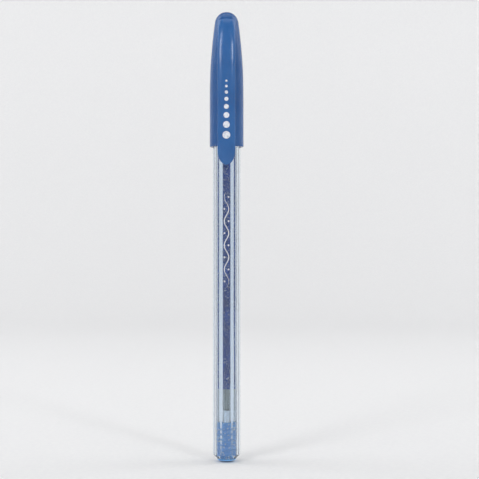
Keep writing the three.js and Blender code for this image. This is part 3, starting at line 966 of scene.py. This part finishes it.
@dataclass
class CapShell:
    """Domed cap, without its clip."""

    palette: Palette
    length: float = 45.2
    radius: float = 5.674
    wall: float = 1.1
    mouth_bore: float = 4.774
    mouth_depth: float = 3.8
    seat: float = 4.25
    crown: float = 3.6
    mouth_round: float = 0.25
    dimple: Profile = ((0.85, 0.12), (0.6, 0.22), (0.3, 0.29), (0.0, 0.31))
    taper: list[tuple[float, float]] = field(default_factory=lambda: [
        (0.0, 1.0), (0.2, 1.0), (0.416, 1.0), (0.489, 0.987), (0.562, 0.972), (0.637, 0.937),
        (0.71, 0.89), (0.785, 0.834), (0.858, 0.768), (0.92, 0.703)])

    def outside(self, height: float) -> float:
        """Outside radius below the dome, by height above the mouth, in millimetres."""
        return smooth_curve(self.taper, height / self.length) * self.radius

    def inside(self, height: float) -> float:
        """Inside radius above the mouth bore, in millimetres."""
        return min(self.seat, self.outside(height) - self.wall)

    def profile(self, mouth: float) -> list[tuple[float, float]]:
        """Half section of the shell.

        Args:
            mouth: height of the cap's mouth above the tail end.

        Returns:
            Radius and height of each point, from the axis inside to the axis outside.
        """
        underside = self.length - self.crown
        points = [(0.0, underside)]
        seat_foot = self.mouth_depth + 2 * (self.mouth_bore - self.seat)
        for step in range(25):
            height = underside + (seat_foot - underside) * step / 24
            points.append((self.inside(height), height))
        edge = self.mouth_round
        middle, half = (self.mouth_bore + self.radius) / 2, (self.radius - self.mouth_bore) / 2
        points += [(self.mouth_bore, self.mouth_depth)] + arc((middle, edge), (half, edge), 180, 360, 8)[:-1]
        foot = self.taper[-1][0] * self.length
        points += [(self.outside(edge + (foot - edge) * step / 60), edge + (foot - edge) * step / 60)
                   for step in range(61)]
        base, rise = self.outside(foot), self.length - foot
        lean = (self.outside(foot - 1.0) - base) * rise
        for step in range(1, 20):
            turn = step / 20 * math.pi / 2
            up = math.sin(turn)
            points.append((base * math.cos(turn) - lean * up * (1 - up), foot + rise * up))
        last = points.pop()
        points += [last] if last[0] > 0.9 else []
        points += [(radius, self.length - depth) for radius, depth in self.dimple]
        return [(r, z + mouth) for r, z in points]

    def build(self) -> Piece:
        """Make the cap.

        Returns:
            The cap's object.
        """
        mouth, _ = node_span("cap_shell")
        piece = Workpiece().turned(self.profile(mouth), 120).finish("cap_shell_looks", self.palette.cap)
        return settle(piece, Body.CAP, "cap_plastic", "cap_shell")


@dataclass
class PocketClip:
    """Long bowed clip that grows out of the dome and bends where its root ends."""

    palette: Palette
    cap: CapShell
    width: float = 5.9
    crown: float = 0.42
    tip_length: float = 4.7
    slices: int = 110
    tip_share: float = 0.12
    tip_crowding: float = 1.8
    sides: int = 56
    squareness: float = 0.56
    edge_depth: float = 0.75
    root: float = 0.7
    dots_foot: float = 3.4
    dot_space: float = 0.9
    dot_radii: tuple[float, ...] = (1.25, 1.1, 0.95, 0.8, 0.66, 0.54, 0.43, 0.34)
    print_film: float = 0.03
    print_lift: float = 0.01
    outside: list[tuple[float, float]] = field(default_factory=lambda: [
        (-0.139, 1.2), (-0.135, 1.255), (-0.105, 1.31), (-0.05, 1.385), (0.06, 1.43), (0.22, 1.445),
        (0.44, 1.42), (0.62, 1.335), (0.741, 1.205), (0.8, 1.1), (0.86, 0.965), (0.915, 0.79),
        (0.95, 0.6)])
    inside: list[tuple[float, float]] = field(default_factory=lambda: [
        (-0.139, 1.18), (-0.135, 1.14), (-0.09, 1.135), (-0.04, 1.125), (-0.005, 1.085),
        (0.025, 1.06), (0.06, 1.08), (0.12, 1.165), (0.25, 1.18), (0.44, 1.155), (0.62, 1.075),
        (0.735, 0.95), (0.76, 0.7), (0.95, 0.3)])

    def stand(self, height: float, across: float = 0.0) -> float:
        """Distance of the front face from the axis.

        Args:
            height: height above the cap's mouth, in millimetres.
            across: distance from the middle of the clip, in millimetres.

        Returns:
            The distance in millimetres.
        """
        middle = smooth_curve(self.outside, height / self.cap.length) * self.cap.radius
        return middle - self.crown * (2 * across / self.width) ** 2

    def slice(self, height: float, mouth: float) -> Section:
        """One level section of the clip.

        Args:
            height: height above the cap's mouth, in millimetres.
            mouth: height of the cap's mouth above the tail end.

        Returns:
            The section's point for an angle.
        """
        bottom = self.outside[0][0] * self.cap.length
        above = min(1.0, (height - bottom) / self.tip_length)
        half = self.width / 2 * math.sqrt(max(1 - (1 - above) ** 2, 1e-4))
        front = smooth_curve(self.outside, height / self.cap.length) * self.cap.radius
        back = smooth_curve(self.inside, height / self.cap.length) * self.cap.radius
        power = self.squareness
        middle = front - min(self.edge_depth, (front - back) / 2)
        merge = (height / self.cap.length - self.root) / (self.outside[-1][0] - self.root)
        merge = min(1.0, max(0.0, merge))
        merge = merge * merge * (3 - 2 * merge)
        wrap = front - math.sqrt(max(front * front - half * half, 0.0))
        bow = self.crown + (max(wrap, self.crown) - self.crown) * merge

        def point(angle: float) -> Vector:
            """Find one point of the section.

            Args:
                angle: direction from the middle of the section, in radians.

            Returns:
                The point, in millimetres.
            """
            cos, sin = math.cos(angle), math.sin(angle)
            across = math.copysign(abs(cos) ** power, cos)
            deep = -math.copysign(abs(sin) ** power, sin)
            reach = front - middle if deep > 0 else middle - back
            return Vector((half * across, bow * across ** 2 - middle - deep * reach, mouth + height))
        return point

    def blade(self) -> Piece:
        """Make the clip, root included.

        Returns:
            The clip's object.
        """
        mouth, _ = node_span("cap_shell")
        low, high = self.outside[0][0] * self.cap.length, self.outside[-1][0] * self.cap.length
        levels = []
        for step in range(self.slices + 1):
            share = step / self.slices
            if share <= self.tip_share:
                share = self.tip_share * (share / self.tip_share) ** self.tip_crowding
            levels.append(low + (high - low) * share)
        work = Workpiece().loops([self.slice(level, mouth) for level in levels], self.sides, closed=False)
        piece = work.finish("cap_clip_looks", self.palette.clip, smooth_deg=50)
        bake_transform(piece)
        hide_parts("cap_clip")
        return piece

    def marks(self) -> Piece:
        """Make the plain decoration: a row of dots that shrink towards the crown.

        Returns:
            The dots' object.
        """
        mouth, _ = node_span("cap_shell")
        work, height = Workpiece(), self.dots_foot
        for radius in self.dot_radii:
            work.disc((0.0, mouth + height), radius)
            height += radius * 2 + self.dot_space
        work.film(self.print_film)
        for vert in work.bm.verts:
            vert.co.y -= self.stand(vert.co.z - mouth, vert.co.x) + self.print_lift
        return settle(work.finish("clip_dots", self.palette.white_print, smooth_deg=20), Body.CLIP,
                      "clip_plastic")

    def build(self) -> list[Piece]:
        """Make the clip and its decoration.

        Returns:
            Both objects.
        """
        return [self.blade(), self.marks()]


@dataclass
class CapInside:
    """Inner cap and tip seal, seen when the cap is off."""

    palette: Palette

    def build(self) -> list[Piece]:
        """Give the CAD inner cap and seal their finishes.

        Returns:
            The two CAD objects.
        """
        pieces = []
        for node, material in (("inner_cap", self.palette.inner), ("tip_seal", self.palette.seal)):
            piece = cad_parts[node]
            piece.data.materials.clear()
            piece.data.materials.append(material)
            LOG.info("%s: %d faces, from the frame", node, len(piece.data.polygons))
            pieces.append(piece)
        return pieces


@dataclass
class BarrelMarks:
    """Plain silver wave with dots beside it, printed along the front flat of the barrel."""

    palette: Palette
    flats: float = 8.2
    foot: float = 58.0
    waves: int = 4
    wave_length: float = 8.0
    swing: float = 0.75
    line: float = 0.32
    dot: float = 0.3
    film: float = 0.03
    lift: float = 0.01
    steps: int = 18

    def build(self) -> Piece:
        """Make the marks.

        Returns:
            Their object.
        """
        work = Workpiece()
        count = self.waves * self.steps
        edge = None
        for step in range(count + 1):
            turn = step / self.steps * 2 * math.pi
            across = self.swing * math.sin(turn)
            height = self.foot + step / self.steps * self.wave_length
            half = self.line / 2 * min(1.0, 4 * step / count, 4 * (count - step) / count) + 0.02
            if edge is None:
                ends = [work.bm.verts.new((side, 0, height)) for side in (-half, half)]
                edge = work.bm.edges.new(ends)
            else:
                grown = bmesh.ops.extrude_edge_only(work.bm, edges=[edge])["geom"]
                edge = next(item for item in grown if isinstance(item, bmesh.types.BMEdge)
                            and not set(item.verts) & set(edge.verts))
            left, right = sorted(edge.verts, key=lambda vert: vert.co.x)
            left.co, right.co = Vector((across - half, 0, height)), Vector((across + half, 0, height))
        for half in range(self.waves * 2):
            side = 1 if half % 2 else -1
            work.disc((side * self.swing * 0.9, self.foot + (half + 0.5) * self.wave_length / 2), self.dot)
        work.film(self.film)
        for vert in work.bm.verts:
            vert.co.y -= self.flats / 2 + self.lift
        return settle(work.finish("barrel_wave", self.palette.silver_print, smooth_deg=20), Body.PEN,
                      "clear_plastic")


# Studio


@dataclass
class Studio:
    """Pale paper sweep, soft lights and the camera, square on to the clip."""

    palette: Palette
    lens: float = 85.0
    sensor: float = 36.0
    view_height: float = 160.4
    aim: tuple[float, float] = (4.3, 73.9)

    def paper(self) -> None:
        """Make the round paper sweep that the pen stands on."""
        radius, fillet, wall, below = 900.0, 300.0, 1100.0, 0.3
        profile = [(0.0, -below)] + arc((radius - fillet, fillet - below), (fillet, fillet), -90, 0, 12)
        profile.append((radius, wall))
        work = Workpiece().turned(profile, 96)
        bmesh.ops.reverse_faces(work.bm, faces=work.bm.faces)
        work.finish("paper_sweep", self.palette.paper, smooth_deg=60)

    def lamp(self, name: str, place: tuple[float, float, float], size: tuple[float, float], watts: float,
             aim: tuple[float, float, float] = (0.0, 0.0, 0.09)) -> None:
        """Hang one soft light.

        Args:
            name: its name.
            place: where it hangs, in metres.
            size: width and height, in metres.
            watts: its power.
            aim: the point it faces.
        """
        data = bpy.data.lights.new(name, "AREA")
        data.shape = "RECTANGLE"
        data.size, data.size_y = size
        data.energy = watts
        lamp = bpy.data.objects.new(name, data)
        lamp.location = place
        lamp.rotation_mode = "QUATERNION"
        lamp.rotation_quaternion = (Vector(aim) - Vector(place)).to_track_quat("-Z", "Y")
        bpy.context.scene.collection.objects.link(lamp)

    def build(self) -> None:
        """Make the sweep, the lights, the world and the camera."""
        self.paper()
        self.lamp("key_front_left", (-0.4, -0.55, 0.5), (0.2, 0.3), 1.3)
        self.lamp("key_front_right", (0.34, -0.5, 0.42), (0.08, 0.16), 0.6)
        self.lamp("overhead", (0.0, -0.05, 0.9), (0.7, 0.7), 1.5)
        for side in (-1, 1):
            self.lamp(f"backdrop_{side}", (side * 0.5, 0.15, 0.55), (0.5, 0.5), 1.3, aim=(0, 0.85, 0.15))
        world = bpy.data.worlds.new("studio_air")
        world.use_nodes = True
        world.node_tree.nodes["Background"].inputs["Color"].default_value = linear("#f4f6f8")
        world.node_tree.nodes["Background"].inputs["Strength"].default_value = 0.24
        bpy.context.scene.world = world
        data = bpy.data.cameras.new("camera")
        data.lens, data.sensor_width = self.lens, self.sensor
        distance = self.view_height / 2 / math.tan(math.atan(self.sensor / 2 / self.lens))
        camera = bpy.data.objects.new("camera", data)
        camera.location = (self.aim[0] * MM, -distance * MM, self.aim[1] * MM)
        camera.rotation_euler = (math.pi / 2, 0, 0)
        data.clip_start, data.clip_end = 0.01, 10.0
        bpy.context.scene.collection.objects.link(camera)
        bpy.context.scene.camera = camera
        bpy.context.scene.view_settings.view_transform = "Standard"


def main() -> None:
    """Build the pen's looks in order."""
    logging.basicConfig(level=logging.INFO, format="%(name)s %(message)s")
    palette = Palette()
    Studio(palette).build()
    HexBarrel(palette).build()
    BarrelMarks(palette).build()
    TailPlug(palette).build()
    NoseCone(palette).build()
    Refill(palette).build()
    cap = CapShell(palette)
    cap.build()
    CapInside(palette).build()
    PocketClip(palette, cap).build()


if __name__ == "__main__":
    main()
